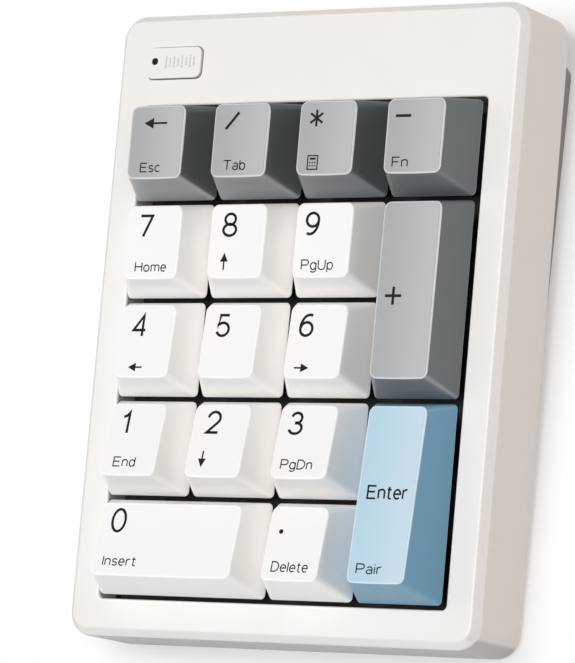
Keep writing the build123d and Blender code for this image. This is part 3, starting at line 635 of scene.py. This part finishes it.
def lay_on_cap(shape, key):
    """Lays a legend on the cap's dished top, a hair proud of it."""
    cap = nodes["keycap_" + key]
    low, high = deck_box("keycap_" + key)
    middle = (low + high) / 2
    surface = BVHTree.FromPolygons([v.co for v in cap.data.vertices], [p.vertices for p in cap.data.polygons])
    for vertex in shape.verts:
        above = from_deck(middle.x + vertex.co.x * MM, middle.y + vertex.co.y * MM, high.z + MM)
        hit = surface.ray_cast(above, -DECK_UP)[0]
        depth = INK_PROUD if vertex.co.z > 0.5 else -INK_SUNK
        vertex.co = hit + DECK_UP * depth * MM


keys = [name.removeprefix("keycap_") for name in nodes if name.startswith("keycap_")]
for key in sorted(keys):
    shape = bmesh.new()
    draw_legend(shape, key)
    bmesh.ops.remove_doubles(shape, verts=shape.verts, dist=SAME_POINT)
    cut_for_curve(shape, CURVE_STEP)
    lay_on_cap(shape, key)
    legend = "legend_" + key
    new_piece(legend, finish_mesh(shape, legend), ink, "key_" + key)


# ---------------------------------------------------------------- springs

SPRING_TURNS = 9
STEPS_PER_TURN = 20
WIRE_SIDES = 6
SPRING_REACH = 6.0 * MM  # a spring's points all lie this near its key's slider

spring_points = [on_deck(vertex.co) for vertex in nodes["switch_springs"].data.vertices]


def cad_spring(key):
    """The CAD spring under a key: the middle of its foot, its length, and its two radii."""
    low, high = deck_box("slider_" + key)
    slider = (low + high) / 2
    near = [place for place in spring_points if (place.xy - slider.xy).length < SPRING_REACH]
    low = Vector([min(place[i] for place in near) for i in range(3)])
    high = Vector([max(place[i] for place in near) for i in range(3)])
    foot = Vector(((low.x + high.x) / 2, (low.y + high.y) / 2, low.z))
    radii = [(place.xy - foot.xy).length for place in near]
    return foot, high.z - low.z, max(radii), min(radii)


def make_coil(foot, length, outer, inner):
    """A wound spring with a closed turn at each end, inside the space of the CAD spring."""
    wire = (outer - inner) / 2
    radius = (outer + inner) / 2
    closed_turn = 2 * wire
    rise = length - 3 * closed_turn
    shape = bmesh.new()
    rings = []
    for step in range(SPRING_TURNS * STEPS_PER_TURN + 1):
        turn = step / STEPS_PER_TURN
        closed = min(turn, 1.0) + max(turn - (SPRING_TURNS - 1), 0.0)
        opened = min(max((turn - 1) / (SPRING_TURNS - 2), 0.0), 1.0)
        height = wire + closed * closed_turn + opened * rise
        angle = 2 * math.pi * turn
        ring = []
        for side in range(WIRE_SIDES):
            round_wire = 2 * math.pi * side / WIRE_SIDES
            out = radius + wire * math.cos(round_wire)
            up = height + wire * math.sin(round_wire)
            place = from_deck(foot.x + out * math.cos(angle), foot.y + out * math.sin(angle), foot.z + up)
            ring.append(shape.verts.new(place))
        rings.append(ring)
    for ring, after in zip(rings, rings[1:]):
        for a in range(WIRE_SIDES):
            b = (a + 1) % WIRE_SIDES
            shape.faces.new((ring[a], ring[b], after[b], after[a]))
    shape.faces.new(rings[0])
    shape.faces.new(rings[-1])
    mesh = finish_mesh(shape, "spring")
    for polygon in mesh.polygons:
        polygon.use_smooth = len(polygon.vertices) == 4
    return mesh


for key in sorted(keys):
    foot, length, outer, inner = cad_spring(key)
    piece = new_piece("spring_" + key, make_coil(foot, length, outer, inner), steel, "case")
    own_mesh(piece)
    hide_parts("switch_springs")


# ---------------------------------------------------------------- badge marks

BAR_COUNT = 8
BARS_FROM_LEFT = 4.4 * MM
BARS_FROM_RIGHT = 1.5 * MM
BARS_BACK = 0.15 * MM
BAR_HALF_WIDTH = 0.17 * MM
BAR_HALF_HEIGHTS = (1.2 * MM, 0.9 * MM)
BAR_PROUD = 0.02 * MM
BAR_SUNK = 0.05 * MM


def make_badge_bars():
    """A plain row of small bars beside the light, in place of any mark."""
    low, high = deck_box("indicator_badge")
    shape = bmesh.new()
    first, last = low.x + BARS_FROM_LEFT, high.x - BARS_FROM_RIGHT
    y = (low.y + high.y) / 2 + BARS_BACK
    for i in range(BAR_COUNT):
        x = first + (last - first) * i / (BAR_COUNT - 1)
        half_height = BAR_HALF_HEIGHTS[i % 2]
        for z in (high.z + BAR_PROUD, high.z - BAR_SUNK):
            for across, along in ((-1, -1), (1, -1), (1, 1), (-1, 1)):
                place = from_deck(x + across * BAR_HALF_WIDTH, y + along * half_height, z)
                shape.verts.new(place)
        shape.verts.ensure_lookup_table()
        corner = shape.verts[-8:]
        shape.faces.new(corner[0:4])
        shape.faces.new(corner[7:3:-1])
        for a in range(4):
            b = (a + 1) % 4
            shape.faces.new((corner[a], corner[a + 4], corner[b + 4], corner[b]))
    new_piece("badge_bars", finish_mesh(shape, "badge_bars"), badge_mark, "case")


make_badge_bars()


# ---------------------------------------------------------------- floor, lights and camera

FLOOR_SIZE = 6
FLOOR_GLOW = 0.36
SKY_GLOW = 0.15
WARM = (1.0, 0.92, 0.85)
WARMER = (1.0, 0.88, 0.79)


def make_floor():
    bpy.ops.mesh.primitive_plane_add(size=FLOOR_SIZE)
    floor = bpy.context.object
    floor.name = "floor"
    paper = Shader("floor_paper", roughness=0.9, specular_ior_level=0.1)
    paper.set("Emission Color", (1.0, 1.0, 1.0))
    paper.set("Emission Strength", FLOOR_GLOW)
    grain = paper.noise(40.0, detail=2.0)
    paper.link(paper.mix(grain, (0.67, 0.67, 0.68), (0.68, 0.68, 0.69)), "Base Color")
    floor.data.materials.append(paper.material)


def add_area_light(name, place, size, power, colour=(1, 1, 1)):
    """A round soft light aimed at the object."""
    lamp = bpy.data.lights.new(name, "AREA")
    lamp.shape = "DISK"
    lamp.size = size
    lamp.energy = power
    lamp.color = colour
    made = bpy.data.objects.new(name, lamp)
    made.location = place
    made.rotation_euler = Vector(place).to_track_quat("Z", "Y").to_euler()
    bpy.context.scene.collection.objects.link(made)
    return made


def light_keys_only(light):
    """Keeps a light off the case and floor, as a flag does, so that it reaches only the keys."""
    keys_only = bpy.data.collections.new("lit_keys")
    for piece in bpy.data.objects:
        if piece.name.startswith(("keycap_", "legend_")):
            keys_only.objects.link(piece)
    light.light_linking.receiver_collection = keys_only


def make_lights():
    world = bpy.data.worlds.new("studio")
    bpy.context.scene.world = world
    world.use_nodes = True
    sky = world.node_tree.nodes["Background"].inputs
    sky["Color"].default_value = (1.0, 1.0, 1.0, 1.0)
    sky["Strength"].default_value = SKY_GLOW
    add_area_light("overhead", (0, 0, 1.3), 1.0, 11.1)
    add_area_light("left", (-0.8, 0.1, 0.8), 0.7, 1.5)
    add_area_light("high_right", (0.52, -0.05, 1.05), 0.5, 2.1, WARM)
    add_area_light("low_right", (1.0, 0.1, 0.3), 0.5, 0.75, WARMER)
    light_keys_only(add_area_light("front_left", (-0.55, -0.7, 0.8), 0.7, 3.2))


# The camera looks down on the keypad from its right, a little in front of it.
CAMERA_AZIMUTH = 71.34
CAMERA_ELEVATION = 55.97
CAMERA_DISTANCE = 0.8817
CAMERA_ROLL = 5.06
CAMERA_TARGET = Vector((-0.00096, -0.00227, 0.0199))
LENS = 254.2


def make_camera():
    azimuth, elevation = math.radians(CAMERA_AZIMUTH), math.radians(CAMERA_ELEVATION)
    toward = Vector((
        math.cos(elevation) * math.sin(azimuth),
        -math.cos(elevation) * math.cos(azimuth),
        math.sin(elevation),
    ))
    # Upright in the picture is the deck's length, then the camera rolls a little.
    upright = (DECK_BACK - toward * DECK_BACK.dot(toward)).normalized()
    upright = Matrix.Rotation(math.radians(CAMERA_ROLL), 3, toward) @ upright
    right = upright.cross(toward)
    pose = Matrix((right, upright, toward)).transposed().to_4x4()
    pose.translation = CAMERA_TARGET + toward * CAMERA_DISTANCE
    camera = bpy.data.cameras.new("camera")
    camera.lens = LENS
    camera.sensor_width = 36
    camera.clip_start = 0.05
    camera_object = bpy.data.objects.new("camera", camera)
    camera_object.matrix_world = pose
    bpy.context.scene.collection.objects.link(camera_object)
    bpy.context.scene.camera = camera_object


make_floor()
make_lights()
make_camera()
bpy.context.scene.view_settings.view_transform = "Standard"
